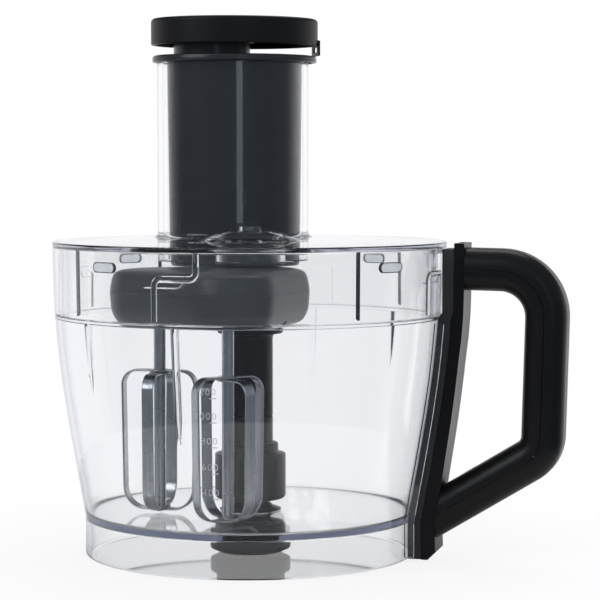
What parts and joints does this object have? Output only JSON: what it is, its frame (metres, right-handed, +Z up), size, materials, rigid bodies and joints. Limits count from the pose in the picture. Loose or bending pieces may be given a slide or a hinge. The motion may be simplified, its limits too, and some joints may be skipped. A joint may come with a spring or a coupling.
{
  "type": "food processor bowl",
  "caption": "Clear food processor bowl with a hollow D handle, twist-lock lid with an oval feed tube, nested pushers, and a geared whisk head with strap beaters on a central drive shaft.",
  "frame": {"origin": "on the bowl's axis, at the level of the base rim, where the drive spindle's end lies", "axes": "+Z up along the bowl's axis, +X towards the handle"},
  "size_m": [0.2284, 0.174, 0.2384],
  "materials": {
    "clear": "clear polished moulded plastic",
    "black": "black satin plastic",
    "charcoal": "charcoal satin plastic",
    "grey": "dark grey satin plastic",
    "pusher_grey": "dark grey smooth plastic",
    "nylon": "natural moulded nylon",
    "steel": "satin stainless steel"
  },
  "bodies": {
    "bowl_unit": {"bowl": "clear", "floor_bush": "charcoal", "handle_spine": "charcoal", "spine_cover": "black", "handle_inner_shell": "black", "handle_outer_shell": "black", "handle_screw_1": "steel", "handle_screw_2": "steel", "rod_spring": "steel", "head_lower_housing": "grey", "head_upper_cover": "grey", "head_screw_1": "steel", "head_screw_2": "steel", "head_screw_3": "steel", "beater_1_bush": "nylon", "beater_2_bush": "nylon"},
    "drive": {"drive_coupling": "charcoal", "drive_spindle": "steel", "drive_shaft": "charcoal", "drive_sleeve": "black", "sun_gear": "nylon", "sleeve_clip": "steel"},
    "beater_1": {"beater_1_shaft": "steel", "beater_1_gear": "nylon", "beater_1_clip": "steel", "beater_1_loop_a": "steel", "beater_1_loop_b": "steel"},
    "beater_2": {"beater_2_shaft": "steel", "beater_2_gear": "nylon", "beater_2_clip": "steel", "beater_2_loop_a": "steel", "beater_2_loop_b": "steel"},
    "lid_carrier": {"lid_bush": "nylon"},
    "lid": {"lid": "clear"},
    "pusher": {"main_pusher": "pusher_grey"},
    "small_pusher": {"small_pusher": "pusher_grey", "pusher_cap": "black"},
    "rod": {"interlock_rod": "charcoal"}
  },
  "joints": [
    {"name": "drive_spin", "type": "hinge", "parent": "bowl_unit", "child": "drive", "pos_m": [0, 0, 0], "axis": [0, 0, 1], "continuous": true},
    {"name": "beater_1_spin", "type": "hinge", "parent": "bowl_unit", "child": "beater_1", "pos_m": [-0.03624, -0.01807, 0], "axis": [0, 0, 1], "continuous": true},
    {"name": "beater_2_spin", "type": "hinge", "parent": "bowl_unit", "child": "beater_2", "pos_m": [0.00177, -0.04046, 0], "axis": [0, 0, 1], "continuous": true},
    {"name": "lid_lift", "type": "slide", "parent": "bowl_unit", "child": "lid_carrier", "axis": [0, 0, 1], "range_m": [0, 0.06]},
    {"name": "lid_turn", "type": "hinge", "parent": "lid_carrier", "child": "lid", "pos_m": [0, 0, 0], "axis": [0, 0, 1], "range_deg": [-25, 0]},
    {"name": "pusher_slide", "type": "slide", "parent": "lid", "child": "pusher", "axis": [0, 0, 1], "range_m": [0, 0.1]},
    {"name": "small_pusher_slide", "type": "slide", "parent": "pusher", "child": "small_pusher", "axis": [0, 0, 1], "range_m": [0, 0.1]},
    {"name": "rod_slide", "type": "slide", "parent": "bowl_unit", "child": "rod", "axis": [0.1102, 0, 0.9939], "range_m": [-0.004, 0], "stiffness_N_per_m": 200, "deforming": ["rod_spring"]}
  ],
  "couplings": [
    {"joint": "beater_1_spin", "follows": "drive_spin", "ratio": -1.25},
    {"joint": "beater_2_spin", "follows": "drive_spin", "ratio": -1.25},
    {"joint": "rod_slide", "follows": "lid_turn", "m_per_rad": 0.00916}
  ]
}
